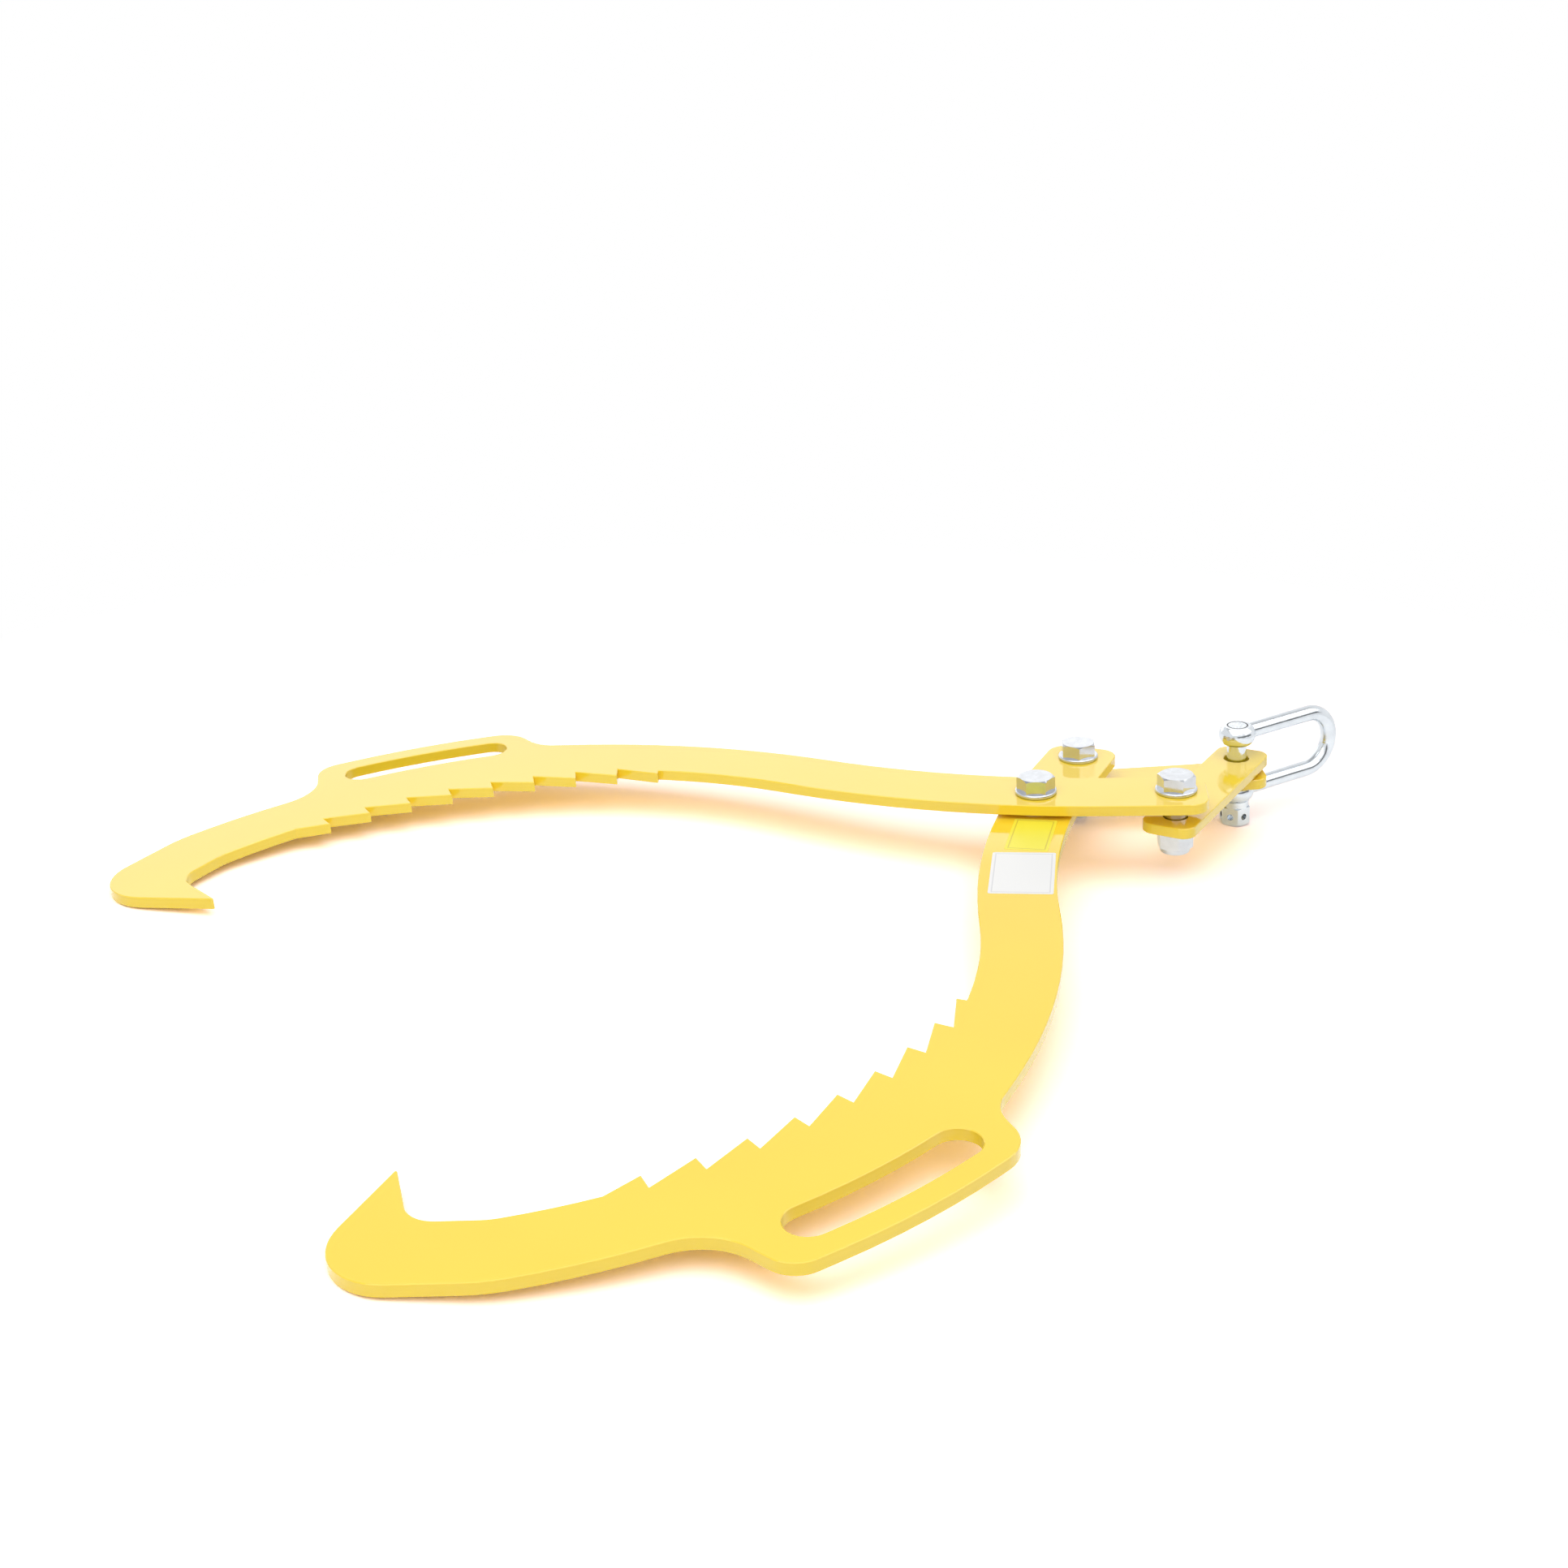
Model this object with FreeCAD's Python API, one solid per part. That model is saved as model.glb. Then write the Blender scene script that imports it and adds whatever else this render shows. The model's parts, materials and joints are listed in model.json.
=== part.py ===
import FreeCAD, Part
import math
import os

# Lifting tongs lying flat. Two equal plate arms cross at a main pivot, and two links join their short
# levers to the pin of a shackle. +Z is the bolt-head side, the tongs reach along -X from the shackle,
# and the origin is the point inside the shackle bow that hangs on the crane hook.
# Lengths are in mm, angles in degrees.

# Plates
PLATE = 8.0
EDGE_BREAK = 0.5

# Arm, in its own frame: pivot at the origin, x along the neck to the jaw, y towards the other jaw.
# The lever's centre line runs through the pivot and meets the neck's centre line beyond it.
ARM_WIDTH = 52.8
LEVER_LENGTH = 100.0
LEVER_OVERHANG = 22.0
LEVER_CORNER = 14.0
LEVER_TURN = 23.1
LEVER_BEND = 560.0
NECK_START = 60.9
NECK_LENGTH = 80.2
NECK_SLOPE = 58.3

# Toothed jaw: angles are counted around the jaw's own centre
JAW_STEP = 14.4
JAW_ENTRY_ANGLE = 13.5
JAW_ENTRY_BEND = 350.0
TOOTH_TIP_RADIUS = 360.0
TOOTH_DEPTH = 12.5
TOOTH_COUNT = 9
TOOTH_PITCH = 5.0
FIRST_TOOTH_ANGLE = -66.2
FIRST_TOOTH_RISE = 6.7
PLAIN_JAW_DEPTH = 9.3
JAW_WIDTH = 51.6

# Hooked tip beyond the last tooth
HOOK_START = -14.2
HOOK_TURN = 14.0
HOOK_BEND = 40.0
SPIKE_REACH = 47.7
SPIKE_ANGLE = -5.1
SPIKE_INNER_ANGLE = -18.3
SPIKE_WEDGE = 38.3
SPIKE_INNER_CORNER = 20.0
SPIKE_OUTER_CORNER = 36.0
SPIKE_NOSE = 1.0

# Hand slot, and the bulge around it on the back of the jaw
SLOT_INSET = 7.1
SLOT_WIDTH = 28.0
SLOT_START = -47.1
SLOT_END = -34.1
SLOT_RIM = 15.6
BULGE_START = -51.9
BULGE_START_FLARE = 26.5
BULGE_START_CORNER = 26.0
BULGE_START_FILLET = 30.0
BULGE_END = -29.3
BULGE_END_FLARE = 20.0
BULGE_END_CORNER = 20.0
BULGE_END_FILLET = 40.0
BACK_ARC_START = -24.7
BACK_RISE = 11.6
BACK_RISE_ANGLE = -55.1
BACK_ANGLE = 24.5
BACK_BEND = 505.0

# Links
LINK_LENGTH = 122.0
LINK_WIDTH = 40.0
LINK_OVERHANG = 21.0
LINK_CORNER = 10.0
LINK_CLEARANCE = 0.3

# Bolts, washers and lock nuts
BOLT_DIAMETER = 16.0
BOLT_PLAY = 1.5
HEX_WALL = 4.0
HEX_CHAMFER_ANGLE = 28.0
HEAD_HEIGHT = 10.0
PIVOT_HEAD_TURN = 24.0
UPPER_HEAD_TURN = 11.0
LOWER_HEAD_TURN = -3.0
BOLT_END_CHAMFER = 1.5
PIVOT_PROTRUSION = 3.6
LINK_PROTRUSION = 0.3
WASHER_PLAY = 1.0
WASHER_BAND = 6.5
WASHER_THICKNESS = 3.0
NUT_HEX_HEIGHT = 12.0
NUT_COLLAR_HEIGHT = 4.0
NUT_COLLAR_WALL = 1.25
NUT_COLLAR_ROUND = 1.0
INSERT_HEIGHT = 3.0
INSERT_WALL = 1.7
INSERT_LIP = 0.8
THREAD_CLEARANCE = 0.05
RUNNING_GAP = 0.2

# Shackle
PIN_DIAMETER = 15.0
PIN_PLAY = 4.0
BOW_ROD = 12.5
BOW_WIDTH = 32.0
BOW_REACH = 88.0
EYE_SHOULDER = 1.0
EYE_WALL = 2.75
EYE_BULGE = 3.75
EYE_BORE_CLEARANCE = 0.3
EYE_SEAT_GAP = 0.3
COLLAR_RIM = 3.0
COLLAR_HEIGHT = 5.0
PIN_HEAD_WALL = 3.0
PIN_HEAD_HEIGHT = 14.0
PIN_HEAD_HOLE = 5.0
PIN_HEAD_CROSSINGS = 3

# Fits: each hole follows what passes through it
BOLT_HOLE = BOLT_DIAMETER + BOLT_PLAY
THREAD_HOLE = BOLT_DIAMETER + 2 * THREAD_CLEARANCE
WASHER_HOLE = BOLT_DIAMETER + WASHER_PLAY
WASHER_DIAMETER = WASHER_HOLE + 2 * WASHER_BAND
HEX_FLATS = BOLT_DIAMETER + 2 * HEX_WALL
INSERT_DIAMETER = THREAD_HOLE + 2 * INSERT_WALL
NUT_COLLAR_DIAMETER = INSERT_DIAMETER + 2 * NUT_COLLAR_WALL
NUT_HEIGHT = NUT_HEX_HEIGHT + NUT_COLLAR_HEIGHT
PIN_HOLE = PIN_DIAMETER + PIN_PLAY
EYE_HEIGHT = BOW_ROD + 2 * EYE_SHOULDER
EYE_FACE = PIN_DIAMETER + 2 * EYE_WALL
EYE_DIAMETER = EYE_FACE + 2 * EYE_BULGE
COLLAR_DIAMETER = PIN_DIAMETER + 2 * COLLAR_RIM
PIN_HEAD_FLATS = PIN_DIAMETER + 2 * PIN_HEAD_WALL

# Heights, counted from the underside of the lower arm
UPPER_ARM_BOTTOM = PLATE + WASHER_THICKNESS + RUNNING_GAP
UPPER_ARM_TOP = UPPER_ARM_BOTTOM + PLATE
LINK_DROP = UPPER_ARM_BOTTOM + LINK_CLEARANCE
UPPER_LINK_BOTTOM = UPPER_ARM_BOTTOM - LINK_DROP - PLATE
LOWER_LINK_BOTTOM = -LINK_DROP - PLATE
PIN_SHOULDER = LOWER_LINK_BOTTOM - EYE_SEAT_GAP - EYE_HEIGHT
PIN_TOP = PIN_SHOULDER + 2 * EYE_HEIGHT + BOW_WIDTH
BOW_MIDDLE = (PIN_SHOULDER + PIN_TOP) / 2

# Plan of an arm, in its own frame
TOOTH_ROOT_RADIUS = TOOTH_TIP_RADIUS + TOOTH_DEPTH
JAW_RADIUS = TOOTH_TIP_RADIUS + PLAIN_JAW_DEPTH
JAW_BACK_RADIUS = JAW_RADIUS + JAW_WIDTH
LAST_TOOTH_ANGLE = FIRST_TOOTH_ANGLE + (TOOTH_COUNT - 1) * TOOTH_PITCH
PLAIN_JAW_ANGLE = LAST_TOOTH_ANGLE + TOOTH_PITCH * PLAIN_JAW_DEPTH / TOOTH_DEPTH
SLOT_RADIUS = JAW_BACK_RADIUS + SLOT_INSET + SLOT_WIDTH / 2
BULGE_RADIUS = SLOT_RADIUS + SLOT_WIDTH / 2 + SLOT_RIM

UP = FreeCAD.Vector(0, 0, 1)
RIGHT = FreeCAD.Vector(1, 0, 0)
TINY = 1e-6


def point(x, y, z=0.0):
    return FreeCAD.Vector(x, y, z)


def direction(angle):
    return point(math.cos(math.radians(angle)), math.sin(math.radians(angle)))


def polar(centre, radius, angle):
    return centre + direction(angle) * radius


def crossing(start, angle, other_start, other_angle):
    """Point where two straight lines meet, each given by one of its points and its direction."""
    along = direction(angle)
    other = direction(other_angle)
    gap = other_start - start
    return start + along * ((gap.x * other.y - gap.y * other.x) / (along.x * other.y - along.y * other.x))


def arc_corner(centre, radius, start, end):
    """Corner whose rounding by the radius is the arc from one angle to the other."""
    half = math.radians(abs(end - start) / 2)
    return polar(centre, radius / math.cos(half), (start + end) / 2)


def tangent_crossing(centre, radius, angle, line_start, line_angle):
    """Point where a circle's tangent at an angle meets a straight line."""
    return crossing(polar(centre, radius, angle), angle + 90.0, line_start, line_angle)


def rounded_wire(corners):
    """Closed wire through (corner, radius) pairs. A radius gives way where its sides are too short for it."""
    count = len(corners)
    points = [corner for corner, radius in corners]
    sides = [points[(i + 1) % count] - points[i] for i in range(count)]
    turns = [sides[i - 1].getAngle(sides[i]) for i in range(count)]
    setbacks = [corners[i][1] * math.tan(turns[i] / 2) for i in range(count)]
    shares = [1.0] * count
    for i in range(count):
        following = (i + 1) % count
        needed = setbacks[i] + setbacks[following]
        if needed > sides[i].Length:
            share = sides[i].Length / needed
            shares[i] = min(shares[i], share)
            shares[following] = min(shares[following], share)
    starts = []
    ends = []
    arcs = []
    for i in range(count):
        incoming = FreeCAD.Vector(sides[i - 1]).normalize()
        outgoing = FreeCAD.Vector(sides[i]).normalize()
        setback = setbacks[i] * shares[i]
        starts.append(points[i] - incoming * setback)
        ends.append(points[i] + outgoing * setback)
        arcs.append([])
        if setback > TINY:
            inward = (outgoing - incoming).normalize()
            middle = points[i] + inward * (setback * math.tan(turns[i] / 4))
            arcs[i].append(Part.Arc(starts[i], middle, ends[i]).toShape())
    edges = []
    for i in range(count):
        if (starts[i] - ends[i - 1]).Length > TINY:
            edges.append(Part.makeLine(ends[i - 1], starts[i]))
        edges.extend(arcs[i])
    return Part.Wire(edges)


def plate_from(wire):
    return Part.Face(wire).extrude(UP * PLATE)


def break_edges(plate):
    """Chamfers every edge of both faces of a plate."""
    rims = [edge for edge in plate.Edges if edge.BoundBox.ZLength < TINY]
    return plate.makeChamfer(EDGE_BREAK, rims)


def cylinder(diameter, height, base):
    return Part.makeCylinder(diameter / 2, height, base, UP)


# Joint centres in plan, counted from the main pivot
PIVOT = point(0, 0)
LEVER_SPREAD = NECK_SLOPE - LEVER_TURN
UPPER_JOINT = polar(PIVOT, LEVER_LENGTH, -LEVER_SPREAD)
LOWER_JOINT = polar(PIVOT, LEVER_LENGTH, LEVER_SPREAD)
LINK_SLOPE = math.degrees(math.asin(LOWER_JOINT.y / LINK_LENGTH))
PIN_CENTRE = polar(UPPER_JOINT, LINK_LENGTH, LINK_SLOPE)
LIFTING_POINT = PIN_CENTRE + point(BOW_REACH, 0, BOW_MIDDLE)

# Joints of an arm's plan, in its own frame
LEVER_BOLT = polar(PIVOT, LEVER_LENGTH, LEVER_TURN + 180.0)
NECK_CORNER = polar(PIVOT, NECK_START, LEVER_TURN)
JAW_CENTRE = NECK_CORNER + point(NECK_LENGTH, TOOTH_TIP_RADIUS + JAW_STEP)


def teeth():
    """Saw teeth: a steep radial face towards the pivot, a long straight flank towards the tip."""
    root_radius = TOOTH_TIP_RADIUS + FIRST_TOOTH_RISE
    corners = []
    for tooth in range(TOOTH_COUNT):
        angle = FIRST_TOOTH_ANGLE + tooth * TOOTH_PITCH
        corners.append((polar(JAW_CENTRE, root_radius, angle), 0.0))
        corners.append((polar(JAW_CENTRE, TOOTH_TIP_RADIUS, angle), 0.0))
        root_radius = TOOTH_ROOT_RADIUS
    corners.append((polar(JAW_CENTRE, JAW_RADIUS, PLAIN_JAW_ANGLE), 0.0))
    return corners


def hook():
    """Plain end of the jaw, turned in to a wedge-shaped spike."""
    jaw_end = HOOK_START + 90.0
    spike_side = jaw_end + HOOK_TURN
    outer_bend = HOOK_BEND + JAW_WIDTH
    setback = math.tan(math.radians(HOOK_TURN / 2))
    inner_turn = polar(JAW_CENTRE, JAW_RADIUS, HOOK_START) + direction(jaw_end) * HOOK_BEND * setback
    outer_turn = polar(JAW_CENTRE, JAW_BACK_RADIUS, HOOK_START) + direction(jaw_end) * outer_bend * setback
    tip = polar(JAW_CENTRE, TOOTH_TIP_RADIUS - SPIKE_REACH, SPIKE_ANGLE)
    outer_angle = SPIKE_INNER_ANGLE + SPIKE_WEDGE
    return [
        (arc_corner(JAW_CENTRE, JAW_RADIUS, PLAIN_JAW_ANGLE, HOOK_START), JAW_RADIUS),
        (inner_turn, HOOK_BEND),
        (crossing(inner_turn, spike_side, tip, SPIKE_INNER_ANGLE), SPIKE_INNER_CORNER),
        (tip, SPIKE_NOSE),
        (crossing(outer_turn, spike_side, tip, outer_angle), SPIKE_OUTER_CORNER),
        (outer_turn, outer_bend),
        (arc_corner(JAW_CENTRE, JAW_BACK_RADIUS, BACK_ARC_START, HOOK_START), JAW_BACK_RADIUS),
    ]


def bulge(back_point):
    """Bulge that carries the hand slot, from its tip end to its pivot end."""
    end = polar(JAW_CENTRE, SLOT_RADIUS, BULGE_END)
    end_angle = BULGE_END - BULGE_END_FLARE
    start = polar(JAW_CENTRE, SLOT_RADIUS, BULGE_START)
    start_angle = BULGE_START + BULGE_START_FLARE
    return [
        (tangent_crossing(JAW_CENTRE, JAW_BACK_RADIUS, BACK_ARC_START, end, end_angle), BULGE_END_FILLET),
        (tangent_crossing(JAW_CENTRE, BULGE_RADIUS, SLOT_END, end, end_angle), BULGE_END_CORNER),
        (arc_corner(JAW_CENTRE, BULGE_RADIUS, SLOT_START, SLOT_END), BULGE_RADIUS),
        (tangent_crossing(JAW_CENTRE, BULGE_RADIUS, SLOT_START, start, start_angle), BULGE_START_CORNER),
        (crossing(back_point, BACK_ANGLE, start, start_angle), BULGE_START_FILLET),
    ]


def arm_wire():
    """Outline of an arm in its own frame."""
    side = ARM_WIDTH / 2
    lever_side = direction(LEVER_TURN + 90.0) * side
    lever_end = polar(PIVOT, LEVER_LENGTH + LEVER_OVERHANG, LEVER_TURN + 180.0)
    neck_inner = NECK_CORNER + point(0, side)
    neck_outer = NECK_CORNER - point(0, side)
    jaw_entry = polar(JAW_CENTRE, TOOTH_TIP_RADIUS + FIRST_TOOTH_RISE, FIRST_TOOTH_ANGLE)
    back_point = polar(JAW_CENTRE, JAW_BACK_RADIUS + BACK_RISE, BACK_RISE_ANGLE)
    inner_edge = [
        (lever_end + lever_side, LEVER_CORNER),
        (crossing(lever_side, LEVER_TURN, neck_inner, 0.0), LEVER_BEND + side),
        (crossing(neck_inner, 0.0, jaw_entry, JAW_ENTRY_ANGLE), JAW_ENTRY_BEND),
    ]
    outer_edge = [
        (crossing(neck_outer, 0.0, back_point, BACK_ANGLE), BACK_BEND),
        (crossing(PIVOT - lever_side, LEVER_TURN, neck_outer, 0.0), LEVER_BEND - side),
        (lever_end - lever_side, LEVER_CORNER),
    ]
    return rounded_wire(inner_edge + teeth() + hook() + bulge(back_point) + outer_edge)


def slot_wire():
    """Curved hand slot with round ends, in the arm's own frame."""
    near = SLOT_RADIUS - SLOT_WIDTH / 2
    far = SLOT_RADIUS + SLOT_WIDTH / 2
    middle = (SLOT_START + SLOT_END) / 2
    start_cap = polar(JAW_CENTRE, SLOT_RADIUS, SLOT_START) - direction(SLOT_START + 90.0) * SLOT_WIDTH / 2
    end_cap = polar(JAW_CENTRE, SLOT_RADIUS, SLOT_END) + direction(SLOT_END + 90.0) * SLOT_WIDTH / 2
    near_start = polar(JAW_CENTRE, near, SLOT_START)
    near_end = polar(JAW_CENTRE, near, SLOT_END)
    far_start = polar(JAW_CENTRE, far, SLOT_START)
    far_end = polar(JAW_CENTRE, far, SLOT_END)
    return Part.Wire([
        Part.Arc(near_start, polar(JAW_CENTRE, near, middle), near_end).toShape(),
        Part.Arc(near_end, end_cap, far_end).toShape(),
        Part.Arc(far_end, polar(JAW_CENTRE, far, middle), far_start).toShape(),
        Part.Arc(far_start, start_cap, near_start).toShape(),
    ])


def arm():
    """One arm over the tongs' centre line, with its underside at height 0."""
    plate = plate_from(arm_wire()).cut(plate_from(slot_wire()))
    for centre in (PIVOT, LEVER_BOLT):
        plate = plate.cut(cylinder(BOLT_HOLE, PLATE, centre))
    plate = break_edges(plate)
    plate.rotate(PIVOT, UP, 180.0 - NECK_SLOPE)
    return plate


def upper_arm():
    plate = arm()
    plate.translate(UP * UPPER_ARM_BOTTOM)
    return plate


def lower_arm():
    """The same plate turned over about the tongs' centre line."""
    plate = arm()
    plate.rotate(UP * PLATE / 2, RIGHT, 180.0)
    return plate


def link(joint, slope, bottom):
    """Flat bar with a bolt hole at one end and the shackle pin's hole at the other."""
    side = LINK_WIDTH / 2
    near = -LINK_OVERHANG
    far = LINK_LENGTH + LINK_OVERHANG
    corners = [point(near, -side), point(far, -side), point(far, side), point(near, side)]
    bar = plate_from(rounded_wire([(corner, LINK_CORNER) for corner in corners]))
    bar = bar.cut(cylinder(BOLT_HOLE, PLATE, PIVOT))
    bar = bar.cut(cylinder(PIN_HOLE, PLATE, point(LINK_LENGTH, 0)))
    bar = break_edges(bar)
    bar.rotate(PIVOT, UP, slope)
    bar.translate(joint + UP * bottom)
    return bar


def hexagon(flats, height, base):
    """Six-sided block with the corners of its upper face turned off."""
    inner = flats / 2
    outer = inner / math.cos(math.radians(30.0))
    drop = (outer - inner) * math.tan(math.radians(HEX_CHAMFER_ANGLE))
    points = [polar(base, outer, 60.0 * corner) for corner in range(7)]
    block = Part.Face(Part.makePolygon(points)).extrude(UP * height)
    turned = cylinder(2 * outer, height - drop, base)
    turned = turned.fuse(Part.makeCone(outer, inner, drop, base + UP * (height - drop), UP))
    return block.common(turned)


def hexagon_below(flats, height, base):
    """The same block with its turned corners on the lower face."""
    block = hexagon(flats, height, base)
    block.rotate(base + UP * height / 2, RIGHT, 180.0)
    return block


def bolt(head_base, length, head_turn):
    """Hex bolt with its head up, placed by the centre of the head's bearing face."""
    radius = BOLT_DIAMETER / 2
    shank_length = length - BOLT_END_CHAMFER
    head = hexagon(HEX_FLATS, HEAD_HEIGHT, head_base)
    head.rotate(head_base, UP, head_turn)
    shank = cylinder(BOLT_DIAMETER, shank_length, head_base - UP * shank_length)
    end = Part.makeCone(radius - BOLT_END_CHAMFER, radius, BOLT_END_CHAMFER, head_base - UP * length, UP)
    return head.fuse([shank, end]).removeSplitter()


def washer(base):
    ring = cylinder(WASHER_DIAMETER, WASHER_THICKNESS, base)
    return ring.cut(cylinder(WASHER_HOLE, WASHER_THICKNESS, base))


def nut(top):
    """Lock nut under a joint: a hexagon, and below it a round collar with a seat for the nylon ring."""
    bottom = top - UP * NUT_HEIGHT
    body = hexagon_below(HEX_FLATS, NUT_HEX_HEIGHT, top - UP * NUT_HEX_HEIGHT)
    collar = cylinder(NUT_COLLAR_DIAMETER, NUT_COLLAR_HEIGHT, bottom)
    rim = [edge for edge in collar.Edges if edge.BoundBox.ZMax < bottom.z + TINY]
    collar = collar.makeFillet(NUT_COLLAR_ROUND, rim)
    whole = body.fuse(collar).cut(cylinder(THREAD_HOLE, NUT_HEIGHT, bottom))
    return whole.cut(cylinder(INSERT_DIAMETER, INSERT_HEIGHT, bottom + UP * INSERT_LIP)).removeSplitter()


def nut_insert(top):
    """Nylon ring held in the nut's collar."""
    base = top - UP * (NUT_HEIGHT - INSERT_LIP)
    ring = cylinder(INSERT_DIAMETER, INSERT_HEIGHT, base)
    return ring.cut(cylinder(THREAD_HOLE, INSERT_HEIGHT, base))


def bolted_joint(name, centre, head_washer_base, nut_washer_top, protrusion, head_turn):
    """Bolt, head washer, nut washer, lock nut and nylon ring of one joint."""
    head_base = centre + UP * (head_washer_base + WASHER_THICKNESS)
    nut_top = centre + UP * (nut_washer_top - WASHER_THICKNESS)
    length = head_base.z - nut_top.z + NUT_HEIGHT + protrusion
    return {
        name + "_bolt": bolt(head_base, length, head_turn),
        name + "_head_washer": washer(centre + UP * head_washer_base),
        name + "_nut_washer": washer(nut_top),
        name + "_nut": nut(nut_top),
        name + "_nut_insert": nut_insert(nut_top),
    }


def eye(base):
    """Barrel-shaped forged eye of the bow, still solid."""
    face = EYE_FACE / 2
    belly = EYE_DIAMETER / 2
    outer = Part.Arc(point(face, 0, 0), point(belly, 0, EYE_HEIGHT / 2), point(face, 0, EYE_HEIGHT)).toShape()
    axis_side = Part.makePolygon([point(face, 0, EYE_HEIGHT), UP * EYE_HEIGHT, point(0, 0), point(face, 0)])
    barrel = Part.Face(Part.Wire([outer] + axis_side.Edges)).revolve(PIVOT, UP, 360.0)
    barrel.translate(base)
    return barrel


def shackle_bow():
    """D-shaped bow: two straight legs and a half circle, with an eye at the end of each leg."""
    radius = (BOW_WIDTH + EYE_HEIGHT) / 2
    leg = RIGHT * (BOW_REACH + BOW_ROD / 2 - radius)
    middle = PIN_CENTRE + UP * BOW_MIDDLE
    top = middle + UP * radius
    bottom = middle - UP * radius
    path = Part.Wire([
        Part.makeLine(bottom, bottom + leg),
        Part.Arc(bottom + leg, middle + leg + RIGHT * radius, top + leg).toShape(),
        Part.makeLine(top + leg, top),
    ])
    section = Part.Wire([Part.makeCircle(BOW_ROD / 2, bottom, RIGHT)])
    rod = path.makePipeShell([section], True, False)
    lower_eye = PIN_CENTRE + UP * PIN_SHOULDER
    upper_eye = PIN_CENTRE + UP * (PIN_TOP - EYE_HEIGHT)
    bow = rod.fuse([eye(lower_eye), eye(upper_eye)])
    bow = bow.cut(cylinder(PIN_DIAMETER + 2 * EYE_BORE_CLEARANCE, EYE_HEIGHT, lower_eye))
    return bow.cut(cylinder(PIN_DIAMETER + 2 * THREAD_CLEARANCE, EYE_HEIGHT, upper_eye)).removeSplitter()


def shackle_pin():
    """Screw pin, flush with the upper eye, with a collar and a cross-drilled six-sided head below."""
    shoulder = PIN_CENTRE + UP * PIN_SHOULDER
    collar_base = shoulder - UP * COLLAR_HEIGHT
    head_base = collar_base - UP * PIN_HEAD_HEIGHT
    shank = cylinder(PIN_DIAMETER, PIN_TOP - PIN_SHOULDER, shoulder)
    collar = cylinder(COLLAR_DIAMETER, COLLAR_HEIGHT, collar_base)
    pin = shank.fuse([collar, hexagon_below(PIN_HEAD_FLATS, PIN_HEAD_HEIGHT, head_base)])
    middle = head_base + UP * PIN_HEAD_HEIGHT / 2
    for crossing_number in range(PIN_HEAD_CROSSINGS):
        across = direction(30.0 + 60.0 * crossing_number) * PIN_HEAD_FLATS
        pin = pin.cut(Part.makeCylinder(PIN_HEAD_HOLE / 2, 2 * PIN_HEAD_FLATS, middle - across, across))
    return pin.removeSplitter()


nodes = {
    "upper_arm": upper_arm(),
    "lower_arm": lower_arm(),
    "upper_link": link(UPPER_JOINT, LINK_SLOPE, UPPER_LINK_BOTTOM),
    "lower_link": link(LOWER_JOINT, -LINK_SLOPE, LOWER_LINK_BOTTOM),
    "pivot_spacer_washer": washer(UP * PLATE),
    "shackle_bow": shackle_bow(),
    "shackle_pin": shackle_pin(),
}
nodes.update(bolted_joint("pivot", PIVOT, UPPER_ARM_TOP + RUNNING_GAP, 0.0, PIVOT_PROTRUSION,
                          PIVOT_HEAD_TURN))
nodes.update(bolted_joint("upper_link", UPPER_JOINT, UPPER_ARM_TOP,
                          UPPER_LINK_BOTTOM - RUNNING_GAP, LINK_PROTRUSION, UPPER_HEAD_TURN))
nodes.update(bolted_joint("lower_link", LOWER_JOINT, PLATE,
                          LOWER_LINK_BOTTOM - RUNNING_GAP, LINK_PROTRUSION, LOWER_HEAD_TURN))

os.makedirs("parts", exist_ok=True)
for name, shape in nodes.items():
    shape.translate(-LIFTING_POINT)
    shape.exportStep("parts/" + name + ".step")
    print(name, "solids", len(shape.Solids), "valid", shape.isValid(), "volume", round(shape.Volume))
for name, centre in (("pivot", PIVOT), ("upper joint", UPPER_JOINT), ("lower joint", LOWER_JOINT),
                     ("pin", PIN_CENTRE)):
    print(name, "centre", [round(value, 3) for value in centre - LIFTING_POINT])
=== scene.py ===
import json
import math
import bpy
from mathutils import Matrix, Vector

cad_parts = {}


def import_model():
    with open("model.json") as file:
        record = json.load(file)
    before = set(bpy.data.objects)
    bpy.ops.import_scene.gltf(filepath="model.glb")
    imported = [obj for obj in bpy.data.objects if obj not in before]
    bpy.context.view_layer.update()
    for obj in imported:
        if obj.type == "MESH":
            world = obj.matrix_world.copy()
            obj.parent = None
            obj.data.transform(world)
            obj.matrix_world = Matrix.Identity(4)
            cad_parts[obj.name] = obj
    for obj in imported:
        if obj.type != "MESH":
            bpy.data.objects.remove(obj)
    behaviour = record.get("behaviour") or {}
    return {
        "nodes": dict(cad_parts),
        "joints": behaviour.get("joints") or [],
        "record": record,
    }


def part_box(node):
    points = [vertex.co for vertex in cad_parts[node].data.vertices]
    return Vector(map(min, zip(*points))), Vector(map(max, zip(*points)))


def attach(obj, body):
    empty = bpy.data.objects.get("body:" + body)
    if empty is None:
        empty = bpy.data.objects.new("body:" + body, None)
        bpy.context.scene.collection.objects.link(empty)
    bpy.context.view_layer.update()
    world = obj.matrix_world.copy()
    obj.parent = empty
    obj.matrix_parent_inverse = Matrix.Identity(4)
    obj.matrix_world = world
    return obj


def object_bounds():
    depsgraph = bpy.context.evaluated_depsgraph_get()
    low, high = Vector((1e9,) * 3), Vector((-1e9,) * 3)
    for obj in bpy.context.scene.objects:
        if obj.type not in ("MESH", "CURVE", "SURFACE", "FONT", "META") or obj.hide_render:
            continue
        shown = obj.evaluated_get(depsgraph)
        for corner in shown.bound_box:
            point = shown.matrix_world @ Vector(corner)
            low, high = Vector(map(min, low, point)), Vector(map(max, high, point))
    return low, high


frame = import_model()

cad_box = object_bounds()

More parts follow.
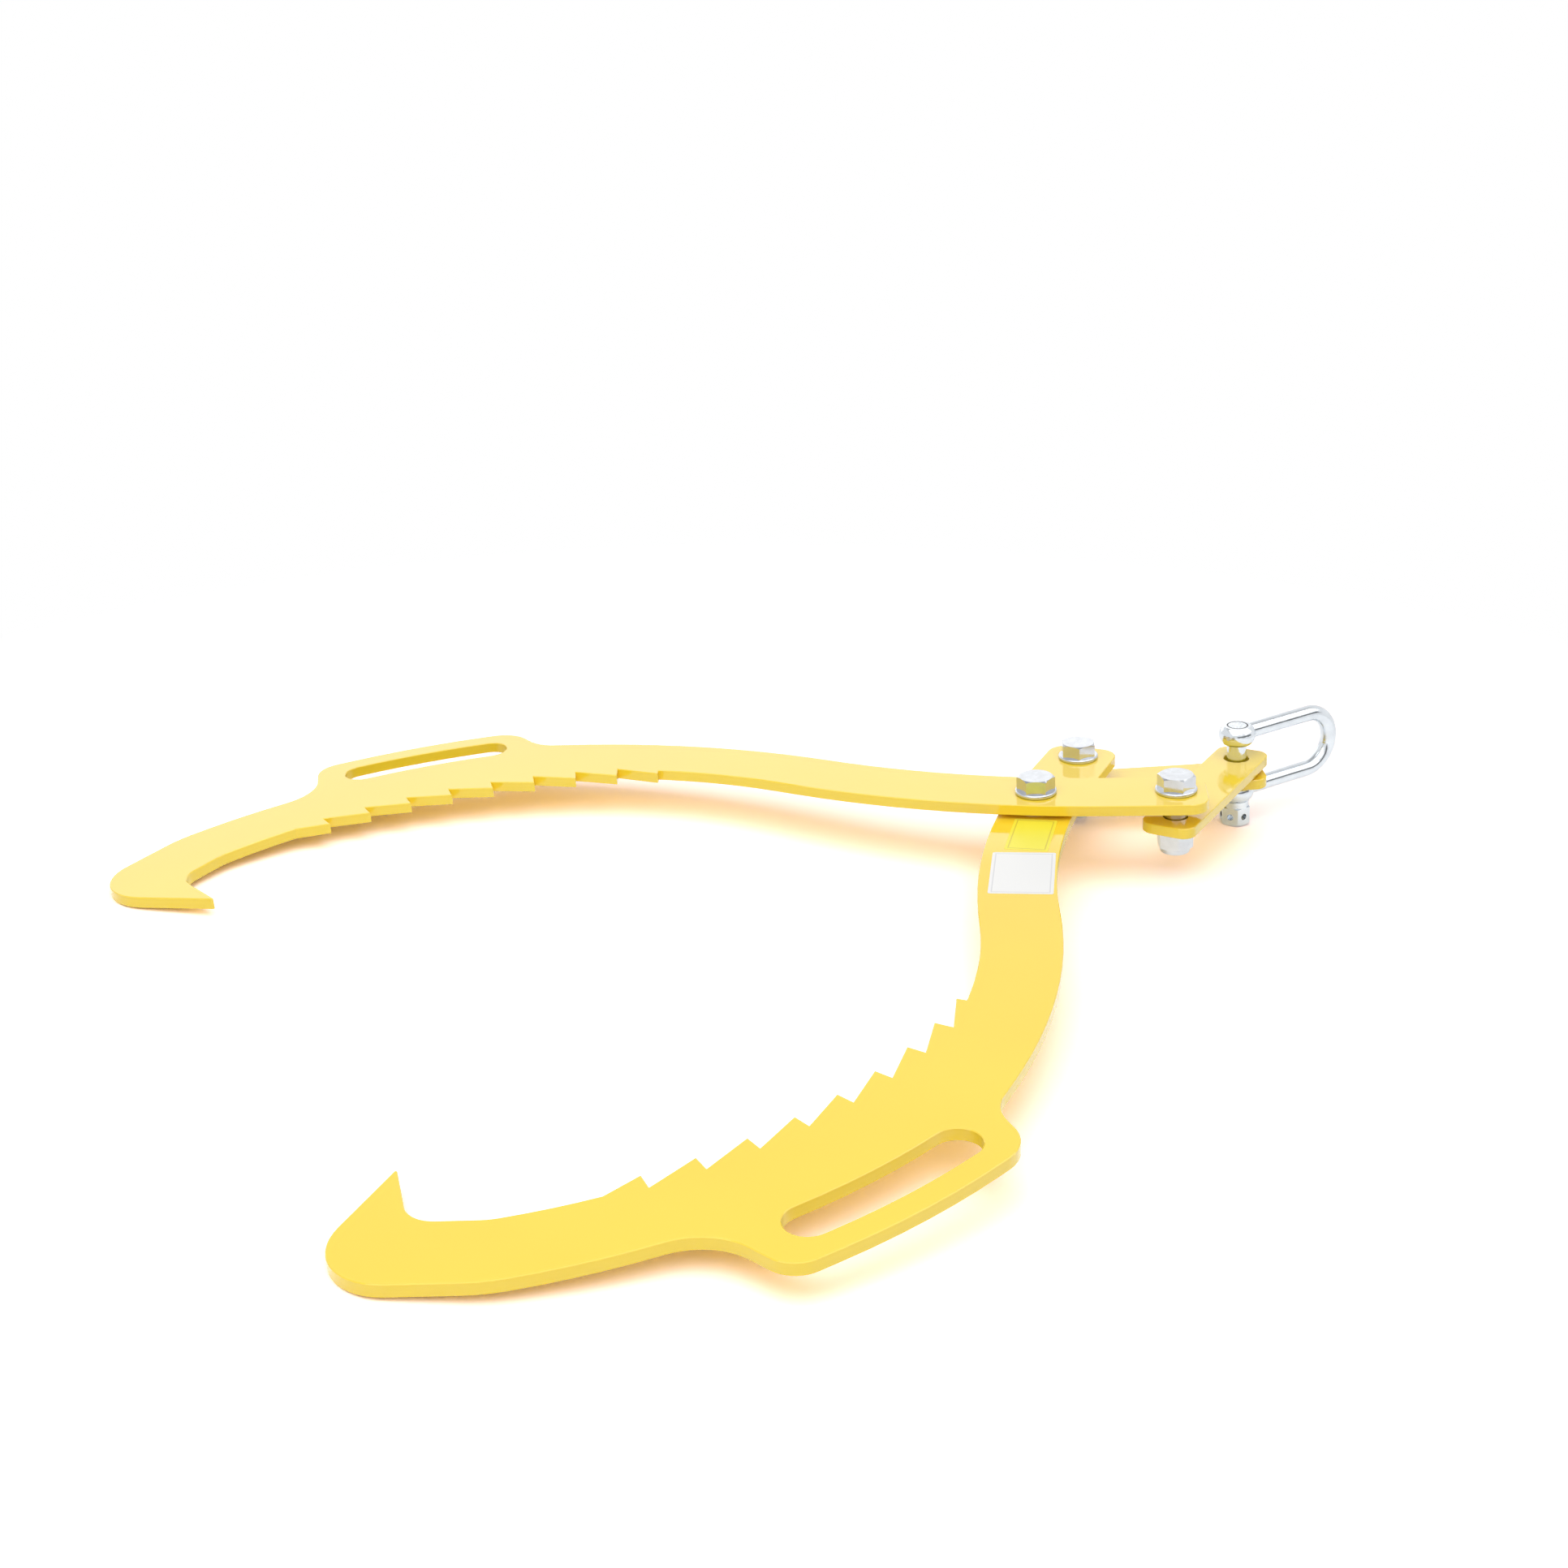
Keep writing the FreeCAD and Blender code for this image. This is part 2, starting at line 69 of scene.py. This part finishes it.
# Lifting tongs in yellow powder coat with bright zinc hardware, lying on a white floor.
# Lengths are in metres and angles in degrees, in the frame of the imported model.
MM = 0.001

# Noise: detail, and the middle part of its values that is spread to a range.
# Every noise scale below is counted per metre, in the object's own coordinates.
NOISE_DETAIL = 2.0
METAL_DETAIL = 3.0
NOISE_LOW = 0.3
NOISE_HIGH = 0.7
NO_STRETCH = (1.0, 1.0, 1.0)

# Yellow powder coat, with the marks of the cut on the plates' sides
COAT_COLOURS = ((0.98, 0.71, 0.038, 1.0), (0.97, 0.685, 0.034, 1.0))
COAT_CLOUD_SCALE = 9.0
COAT_ROUGHNESS = (0.06, 0.11)
COAT_ROUGHNESS_SCALE = 40.0
COAT_PEEL_SCALE = 420.0
COAT_PEEL_DEPTH = 0.01 * MM
COAT_IOR = 1.55
COAT_GLOSS = 0.4
COAT_GLOSS_ROUGHNESS = 0.04
CUT_SCALE = 700.0
CUT_DETAIL = 1.0
CUT_STRETCH = (1.0, 1.0, 0.04)
CUT_DEPTH = 0.012 * MM
CUT_SIDE_LIMIT = 0.3

# Bright zinc plating on the bolts, nuts and washers
ZINC_COLOURS = ((0.63, 0.65, 0.685, 1.0), (0.57, 0.59, 0.62, 1.0))
ZINC_CLOUD_SCALE = 160.0
ZINC_ROUGHNESS = (0.10, 0.19)
ZINC_ROUGHNESS_SCALE = 300.0
ZINC_LINE_SCALE = 1500.0
ZINC_LINE_STRETCH = (0.12, 0.12, 1.0)
ZINC_LINE_DEPTH = 0.006 * MM

# Zinc plating on the forged shackle
FORGED_COLOURS = ((0.75, 0.79, 0.83, 1.0), (0.67, 0.71, 0.75, 1.0))
FORGED_CLOUD_SCALE = 120.0
FORGED_ROUGHNESS = (0.09, 0.17)
FORGED_ROUGHNESS_SCALE = 220.0
FORGED_SKIN_SCALE = 500.0
FORGED_SKIN_DEPTH = 0.05 * MM

# Painted shade: a dark ring where the end of the shackle pin's thread shows in the upper eye, standing in
# for the shade in the thread's grooves
THREAD_RADIUS = 7.5 * MM
THREAD_SHADE_HALF_WIDTH = 0.6 * MM
THREAD_DEPTH = 1.0 * MM
THREAD_PAINTED_SHADE_COLOUR = (0.08, 0.08, 0.09, 1.0)

# Nylon rings of the lock nuts
NYLON_COLOURS = ((0.88, 0.88, 0.85, 1.0), (0.82, 0.82, 0.79, 1.0))
NYLON_CLOUD_SCALE = 200.0
NYLON_ROUGHNESS = 0.45

# Rounding of the edges of the stamped washers
WASHER_EDGE = 0.9 * MM
EDGE_STEPS = 3
EDGE_ANGLE = 40.0
SAME_POINT = 0.002 * MM

# Blank labels on the lower arm's neck: centre in plan, length along the neck and width across it
LABEL_THICKNESS = 0.15 * MM
LABEL_CORNER = 1.5 * MM
LABEL_CORNER_STEPS = 6
LABEL_FRAME_INSET = 2.4 * MM
LABEL_FRAME_HALF_LINE = 0.45 * MM
FILM_CLOUD_SCALE = 14.0
FILM_DETAIL = 0.0
FILM_ROUGHNESS = 0.3
WHITE_LABEL = {
    "centre": (-350.4 * MM, -84.9 * MM),
    "size": (65.0 * MM, 43.4 * MM),
    "angle": 52.0,
    "colours": ((0.88, 0.88, 0.87, 1.0), (0.84, 0.84, 0.83, 1.0)),
    "frame_colour": (0.70, 0.70, 0.71, 1.0),
}
YELLOW_LABEL = {
    "centre": (-309.0 * MM, -37.8 * MM),
    "size": (52.5 * MM, 30.5 * MM),
    "angle": 46.0,
    "colours": ((0.95, 0.86, 0.06, 1.0), (0.92, 0.83, 0.055, 1.0)),
    "frame_colour": (0.72, 0.60, 0.05, 1.0),
}

# Floor. Its colour differs for the light that it bounces, for what the metal mirrors and for the camera,
# and between two distances from its middle it turns to plain white.
FLOOR_SIZE = 60.0
FLOOR_GAP = 0.05 * MM
FLOOR_COLOUR = (0.88, 0.88, 0.88, 1.0)
FLOOR_MIRRORED = (1.25, 1.25, 1.25, 1.0)
FLOOR_SHOWN = (1.70, 1.40, 1.34, 1.0)
FLOOR_WHITE_FROM = 0.6
FLOOR_WHITE_TO = 1.0
FLOOR_FIRST_NORMAL = (0.1, 0.0, 1.0)
FLOOR_ROUNDS = 4

# World. The heights at which the backdrop turns to the ceiling are those of a ray's direction.
WHITE = (1.0, 1.0, 1.0, 1.0)
SKY_STRENGTH = 0.5
CEILING_STRENGTH = 0.5
CEILING_FROM = 0.6
CEILING_TO = 0.85

# Lamps, with their power in watts, and a grey card for the metal to mirror.
# A lamp for gloss shows in reflections and adds nothing to the matt light.
TOP_SOFTBOX = {
    "place": (-0.8, -0.5, 1.6), "target": (-0.45, 0.0, 0.0), "size": (2.4, 2.4),
    "power": 27.0, "only_gloss": False,
}
BACKLIGHT = {
    "place": (0.25, 2.2, 0.6), "target": (-0.4, 0.0, 0.2), "size": (2.66, 1.0),
    "power": 4.4, "only_gloss": True,
}
SHACKLE_SOFTBOX = {
    "place": (0.75, -0.85, 1.4), "target": (0.0, 0.0, 0.0), "size": (1.8, 1.8),
    "power": 15.0, "only_gloss": True,
}
CARD = {"place": (0.3, -2.8, 0.55), "target": (0.0, 0.0, 0.2), "size": (6.0, 0.8)}
CARD_COLOUR = (0.35, 0.35, 0.35, 1.0)
CARD_ROUGHNESS = 1.0

# Camera, matched to the photograph. The main pivot, on the lower arm's underside, lies this far
# to the right of the camera, below it and in front of it.
PHOTO_SIZE = 1932
FOCAL_PIXELS = 2428.0
SENSOR_WIDTH_MM = 36.0
CAMERA_AZIMUTH = 27.97
CAMERA_ELEVATION = 22.54
CAMERA_ROLL = -3.6
PIVOT_FROM_CAMERA = Vector((0.1836, 0.0240, 1.4350))

# Sockets of the Mix node when it mixes colours
MIX_FACTOR = 0
MIX_FIRST = 6
MIX_SECOND = 7
MIX_RESULT = 2


def joint_centre(name):
    """Place of a joint's axis in the frame."""
    return Vector(next(joint["pos_m"] for joint in frame["joints"] if joint["name"] == name))


# Node trees

def connect(node, inputs):
    """Sets a node's inputs, each from a plain value or from another node's output."""
    for name, value in inputs.items():
        if isinstance(value, bpy.types.NodeSocket):
            node.id_data.links.new(value, node.inputs[name])
        else:
            node.inputs[name].default_value = value


def add_node(tree, kind, inputs=None, **settings):
    """Node with its settings and inputs."""
    node = tree.nodes.new(kind)
    for name, value in settings.items():
        setattr(node, name, value)
    connect(node, inputs or {})
    return node


def new_material(name):
    """Procedural material. Returns the material, its tree and its Principled shader."""
    material = bpy.data.materials.new(name)
    material.use_nodes = True
    tree = material.node_tree
    return material, tree, tree.nodes["Principled BSDF"]


def math_node(tree, operation, *values):
    """Result of a sum on plain values or outputs."""
    return add_node(tree, "ShaderNodeMath", dict(enumerate(values)), operation=operation).outputs[0]


def vector_math(tree, operation, *values):
    """Node for a sum on vectors."""
    return add_node(tree, "ShaderNodeVectorMath", dict(enumerate(values)), operation=operation)


def own_place(tree):
    """Place in the object's own coordinates."""
    return add_node(tree, "ShaderNodeTexCoord").outputs["Object"]


def split(tree, vector):
    """The X, Y and Z outputs of a vector."""
    return add_node(tree, "ShaderNodeSeparateXYZ", {0: vector}).outputs


def noise(tree, scale, detail=NOISE_DETAIL, stretch=NO_STRETCH):
    """Noise value in the object's own coordinates."""
    mapping = add_node(tree, "ShaderNodeMapping", {"Vector": own_place(tree), "Scale": stretch})
    texture = add_node(tree, "ShaderNodeTexNoise", {
        "Vector": mapping.outputs["Vector"], "Scale": scale, "Detail": detail})
    return texture.outputs["Fac"]


def map_range(tree, value, from_low, from_high, to_low=0.0, to_high=1.0):
    """Value moved from one range to another, and kept inside it."""
    node = add_node(tree, "ShaderNodeMapRange", {
        "Value": value, "From Min": from_low, "From Max": from_high, "To Min": to_low, "To Max": to_high})
    return node.outputs["Result"]


def spread(tree, value, low, high):
    """Noise value spread to a range."""
    return map_range(tree, value, NOISE_LOW, NOISE_HIGH, low, high)


def mix_colour(tree, factor, first, second):
    """The first colour where the factor is 0, the second where it is 1."""
    node = add_node(tree, "ShaderNodeMix", {
        MIX_FACTOR: factor, MIX_FIRST: first, MIX_SECOND: second}, data_type="RGBA")
    return node.outputs[MIX_RESULT]


def clouded(tree, colours, scale, detail=NOISE_DETAIL):
    """Colour that drifts between two close ones."""
    return mix_colour(tree, spread(tree, noise(tree, scale, detail), 0.0, 1.0), *colours)


def bump(tree, height, depth, normal=None):
    """Normal of an uneven surface, on top of another one where that is given."""
    inputs = {"Height": height, "Distance": depth, "Strength": 1.0}
    if normal is not None:
        inputs["Normal"] = normal
    return add_node(tree, "ShaderNodeBump", inputs).outputs["Normal"]


def cut_sides(tree):
    """1 on the upright sides of a plate, 0 on its faces."""
    normal = add_node(tree, "ShaderNodeNewGeometry").outputs["Normal"]
    upright = math_node(tree, "ABSOLUTE", split(tree, normal)["Z"])
    return math_node(tree, "LESS_THAN", upright, CUT_SIDE_LIMIT)


# Materials

def powder_coat():
    """Glossy yellow powder coat with a fine orange peel. The marks of the cut show through on the sides."""
    material, tree, shader = new_material("yellow_powder_coat")
    marks = noise(tree, CUT_SCALE, CUT_DETAIL, CUT_STRETCH)
    cut = bump(tree, math_node(tree, "MULTIPLY", marks, cut_sides(tree)), CUT_DEPTH)
    connect(shader, {
        "Base Color": clouded(tree, COAT_COLOURS, COAT_CLOUD_SCALE),
        "Roughness": spread(tree, noise(tree, COAT_ROUGHNESS_SCALE), *COAT_ROUGHNESS),
        "Normal": bump(tree, noise(tree, COAT_PEEL_SCALE), COAT_PEEL_DEPTH, cut),
        "IOR": COAT_IOR,
        "Coat Weight": COAT_GLOSS,
        "Coat Roughness": COAT_GLOSS_ROUGHNESS})
    return material


def bright_zinc():
    """Bright zinc plating with faint clouding, on rolled and turned steel."""
    material, tree, shader = new_material("bright_zinc_plating")
    lines = noise(tree, ZINC_LINE_SCALE, stretch=ZINC_LINE_STRETCH)
    connect(shader, {
        "Base Color": clouded(tree, ZINC_COLOURS, ZINC_CLOUD_SCALE, METAL_DETAIL),
        "Roughness": spread(tree, noise(tree, ZINC_ROUGHNESS_SCALE), *ZINC_ROUGHNESS),
        "Normal": bump(tree, lines, ZINC_LINE_DEPTH),
        "Metallic": 1.0})
    return material


def painted_thread_shade(tree):
    """1 on the ring round the end of the shackle pin, where the shade of the thread's grooves is painted.
    """
    pin = joint_centre("shackle_swing")
    end_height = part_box("shackle_pin")[1].z - THREAD_DEPTH
    plan = vector_math(tree, "MULTIPLY", own_place(tree), (1.0, 1.0, 0.0)).outputs["Vector"]
    from_axis = vector_math(tree, "DISTANCE", plan, (pin.x, pin.y, 0.0)).outputs["Value"]
    ring = math_node(tree, "COMPARE", from_axis, THREAD_RADIUS, THREAD_SHADE_HALF_WIDTH)
    at_end = math_node(tree, "GREATER_THAN", split(tree, own_place(tree))["Z"], end_height)
    return math_node(tree, "MULTIPLY", ring, at_end)


def forged_zinc():
    """Zinc plating on the uneven skin of a forging, with painted shade in a dark ring round the pin's end,
    where the thread's grooves are.
    """
    material, tree, shader = new_material("forged_zinc_plating")
    colour = clouded(tree, FORGED_COLOURS, FORGED_CLOUD_SCALE, METAL_DETAIL)
    skin = noise(tree, FORGED_SKIN_SCALE, METAL_DETAIL)
    connect(shader, {
        # The dark ring at the pin's end is painted shade of the thread's grooves.
        "Base Color": mix_colour(tree, painted_thread_shade(tree), colour, THREAD_PAINTED_SHADE_COLOUR),
        "Roughness": spread(tree, noise(tree, FORGED_ROUGHNESS_SCALE), *FORGED_ROUGHNESS),
        "Normal": bump(tree, skin, FORGED_SKIN_DEPTH),
        "Metallic": 1.0})
    return material


def nylon():
    """Cloudy natural nylon."""
    material, tree, shader = new_material("natural_nylon")
    connect(shader, {
        "Base Color": clouded(tree, NYLON_COLOURS, NYLON_CLOUD_SCALE),
        "Roughness": NYLON_ROUGHNESS})
    return material


def from_edge(tree, place, size):
    """Distance inwards from the edge of a label's rectangle."""
    distances = []
    for axis, side in zip("XY", size):
        distances.append(math_node(tree, "SUBTRACT", side / 2, math_node(tree, "ABSOLUTE", place[axis])))
    return math_node(tree, "MINIMUM", *distances)


def film(name, plan):
    """Blank label film with a thin printed frame near its edge."""
    material, tree, shader = new_material(name)
    ground = clouded(tree, plan["colours"], FILM_CLOUD_SCALE, FILM_DETAIL)
    inwards = from_edge(tree, split(tree, own_place(tree)), plan["size"])
    line = math_node(tree, "COMPARE", inwards, LABEL_FRAME_INSET, LABEL_FRAME_HALF_LINE)
    connect(shader, {
        "Base Color": mix_colour(tree, line, ground, plan["frame_colour"]),
        "Roughness": FILM_ROUGHNESS})
    return material


# Pieces

def round_edges(node):
    """Joins the faces of a washer's mesh and rounds the edges between them."""
    join = node.modifiers.new("join", "WELD")
    join.merge_threshold = SAME_POINT
    edge = node.modifiers.new("edge", "BEVEL")
    edge.width = WASHER_EDGE
    edge.segments = EDGE_STEPS
    edge.limit_method = "ANGLE"
    edge.angle_limit = math.radians(EDGE_ANGLE)
    edge.harden_normals = True


def dress_nodes():
    """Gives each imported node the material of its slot, and rounds the edges of the washers."""
    materials = {
        "yellow_coat": powder_coat(),
        "bright_zinc": bright_zinc(),
        "shackle_zinc": forged_zinc(),
        "nylon": nylon(),
    }
    for subpart in frame["record"]["subparts"]:
        name = subpart["node"]
        node = frame["nodes"][name]
        for slot in node.material_slots:
            slot.material = materials[subpart["material_slot"]]
        if name.endswith("washer"):
            round_edges(node)


def rounded_rectangle(length, width):
    """Corner points of a rectangle with round corners, from the first quadrant on."""
    points = []
    for corner, (across, up) in enumerate(((1, 1), (-1, 1), (-1, -1), (1, -1))):
        centre = Vector((across * (length / 2 - LABEL_CORNER), up * (width / 2 - LABEL_CORNER)))
        for step in range(LABEL_CORNER_STEPS + 1):
            angle = math.radians(90.0 * (corner + step / LABEL_CORNER_STEPS))
            points.append(centre + LABEL_CORNER * Vector((math.cos(angle), math.sin(angle))))
    return points


def label(name, plan):
    """Blank label stuck on the upper face of the lower arm."""
    outline = rounded_rectangle(*plan["size"])
    count = len(outline)
    corners = [(point.x, point.y, 0.0) for point in outline]
    corners += [(point.x, point.y, LABEL_THICKNESS) for point in outline]
    faces = [tuple(reversed(range(count))), tuple(range(count, 2 * count))]
    faces += [(i, (i + 1) % count, count + (i + 1) % count, count + i) for i in range(count)]
    mesh = bpy.data.meshes.new(name)
    mesh.from_pydata(corners, [], faces)
    mesh.materials.append(film(name + "_film", plan))
    piece = bpy.data.objects.new(name, mesh)
    face_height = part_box("lower_arm")[1].z
    place = Matrix.Translation((*plan["centre"], face_height))
    piece.matrix_world = place @ Matrix.Rotation(math.radians(plan["angle"]), 4, "Z")
    bpy.context.scene.collection.objects.link(piece)
    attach(piece, "lower_arm")


# Stage

def lowest_corner(node, normal):
    """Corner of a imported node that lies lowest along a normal."""
    corners = [vertex.co for vertex in frame["nodes"][node].data.vertices]
    return min(corners, key=normal.dot).copy()


def resting_plane():
    """Floor under the two hooked tips and the head of the shackle pin: a point and the normal."""
    normal = Vector(FLOOR_FIRST_NORMAL)
    for _ in range(FLOOR_ROUNDS):
        upper = lowest_corner("upper_arm", normal)
        lower = lowest_corner("lower_arm", normal)
        pin = lowest_corner("shackle_pin", normal)
        normal = (upper - pin).cross(lower - pin).normalized()
    return pin, normal


def seen_by_camera(tree):
    """1 for rays straight from the camera."""
    return add_node(tree, "ShaderNodeLightPath").outputs["Is Camera Ray"]


def shows_background(tree):
    """1 for rays that show the background: from the camera, or by way of metal or glass."""
    path = add_node(tree, "ShaderNodeLightPath").outputs
    mirrored = math_node(tree, "MAXIMUM", path["Is Glossy Ray"], path["Is Transmission Ray"])
    return math_node(tree, "MAXIMUM", path["Is Camera Ray"], mirrored)


def floor_material():
    """Pale floor that keeps the shadows. The camera sees it exposed to white, and plain white far out."""
    material, tree, shader = new_material("white_floor")
    tree.nodes.remove(shader)
    bounced = mix_colour(tree, shows_background(tree), FLOOR_COLOUR, FLOOR_MIRRORED)
    colour = mix_colour(tree, seen_by_camera(tree), bounced, FLOOR_SHOWN)
    near = add_node(tree, "ShaderNodeBsdfDiffuse", {"Color": colour})
    white = add_node(tree, "ShaderNodeEmission", {"Color": WHITE, "Strength": 1.0})
    distance = vector_math(tree, "LENGTH", own_place(tree)).outputs["Value"]
    far = map_range(tree, distance, FLOOR_WHITE_FROM, FLOOR_WHITE_TO)
    shown_white = math_node(tree, "MULTIPLY", far, shows_background(tree))
    surface = add_node(tree, "ShaderNodeMixShader", {
        0: shown_white, 1: near.outputs[0], 2: white.outputs[0]})
    connect(tree.nodes["Material Output"], {"Surface": surface.outputs[0]})
    return material


def stage_plane(name, length, width, place, material):
    """Flat rectangle of the studio."""
    mesh = bpy.data.meshes.new(name)
    right, up = length / 2, width / 2
    corners = [(-right, -up, 0.0), (right, -up, 0.0), (right, up, 0.0), (-right, up, 0.0)]
    mesh.from_pydata(corners, [], [(0, 1, 2, 3)])
    mesh.materials.append(material)
    plane = bpy.data.objects.new(name, mesh)
    plane.matrix_world = place
    bpy.context.scene.collection.objects.link(plane)
    return plane


def floor():
    """Floor centred below the tongs."""
    point, normal = resting_plane()
    middle = (cad_box[0] + cad_box[1]) / 2
    below = middle - normal * ((middle - point).dot(normal) + FLOOR_GAP)
    turn = Vector((0, 0, 1)).rotation_difference(normal).to_matrix().to_4x4()
    place = Matrix.Translation(below) @ turn
    stage_plane("floor", FLOOR_SIZE, FLOOR_SIZE, place, floor_material())


def aimed(place, target):
    """Placement whose -Z axis points at a target."""
    turn = (Vector(target) - Vector(place)).to_track_quat("-Z", "Y")
    return Matrix.Translation(place) @ turn.to_matrix().to_4x4()


def grey_card(name, place, target, size):
    """Grey card near the camera, which only the metal and the gloss of the paint mirror."""
    material, _, shader = new_material("grey_card")
    connect(shader, {"Base Color": CARD_COLOUR, "Roughness": CARD_ROUGHNESS})
    card = stage_plane(name, *size, aimed(place, target), material)
    card.visible_camera = False
    card.visible_diffuse = False
    card.visible_transmission = False
    card.visible_shadow = False


def world():
    """Even white light, and a white background wherever it shows, greyer at the ceiling."""
    sky = bpy.data.worlds.new("studio")
    sky.use_nodes = True
    tree = sky.node_tree
    light = tree.nodes["Background"]
    connect(light, {"Color": WHITE, "Strength": SKY_STRENGTH})
    direction = add_node(tree, "ShaderNodeTexCoord").outputs["Generated"]
    level = map_range(
        tree, split(tree, direction)["Z"], CEILING_FROM, CEILING_TO, 1.0, CEILING_STRENGTH)
    backdrop = add_node(tree, "ShaderNodeBackground", {"Color": WHITE, "Strength": level})
    choice = add_node(tree, "ShaderNodeMixShader", {
        0: shows_background(tree), 1: light.outputs[0], 2: backdrop.outputs[0]})
    connect(tree.nodes["World Output"], {"Surface": choice.outputs[0]})
    bpy.context.scene.world = sky


def softbox(name, place, target, size, power, only_gloss):
    """Large lamp that points at a target. The size is its width and height."""
    lamp = bpy.data.lights.new(name, "AREA")
    lamp.shape = "RECTANGLE"
    lamp.size, lamp.size_y = size
    lamp.energy = power
    box = bpy.data.objects.new(name, lamp)
    box.matrix_world = aimed(place, target)
    box.visible_diffuse = not only_gloss
    bpy.context.scene.collection.objects.link(box)


def camera():
    """Camera at the photograph's viewing angle."""
    azimuth = math.radians(CAMERA_AZIMUTH)
    elevation = math.radians(CAMERA_ELEVATION)
    roll = math.radians(CAMERA_ROLL)
    level = Vector((math.sin(azimuth), math.cos(azimuth), 0.0))
    forward = level * math.cos(elevation) - Vector((0, 0, 1)) * math.sin(elevation)
    right = Vector((math.cos(azimuth), -math.sin(azimuth), 0.0))
    down = forward.cross(right)
    rolled_right = right * math.cos(roll) - down * math.sin(roll)
    rolled_down = right * math.sin(roll) + down * math.cos(roll)
    turn = Matrix((rolled_right, -rolled_down, -forward)).transposed()
    pivot = joint_centre("jaw_opening")
    pivot.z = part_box("lower_arm")[0].z
    offset = (rolled_right * PIVOT_FROM_CAMERA.x + rolled_down * PIVOT_FROM_CAMERA.y
              + forward * PIVOT_FROM_CAMERA.z)
    lens = bpy.data.cameras.new("camera")
    lens.sensor_width = SENSOR_WIDTH_MM
    lens.lens = FOCAL_PIXELS / PHOTO_SIZE * SENSOR_WIDTH_MM
    eye = bpy.data.objects.new("camera", lens)
    eye.matrix_world = Matrix.Translation(pivot - offset) @ turn.to_4x4()
    bpy.context.scene.collection.objects.link(eye)
    bpy.context.scene.camera = eye


bpy.context.scene.view_settings.view_transform = "Standard"
dress_nodes()
label("white_label", WHITE_LABEL)
label("yellow_label", YELLOW_LABEL)
floor()
world()
softbox("top_softbox", **TOP_SOFTBOX)
softbox("backlight", **BACKLIGHT)
softbox("shackle_softbox", **SHACKLE_SOFTBOX)
grey_card("camera_side_card", **CARD)
camera()
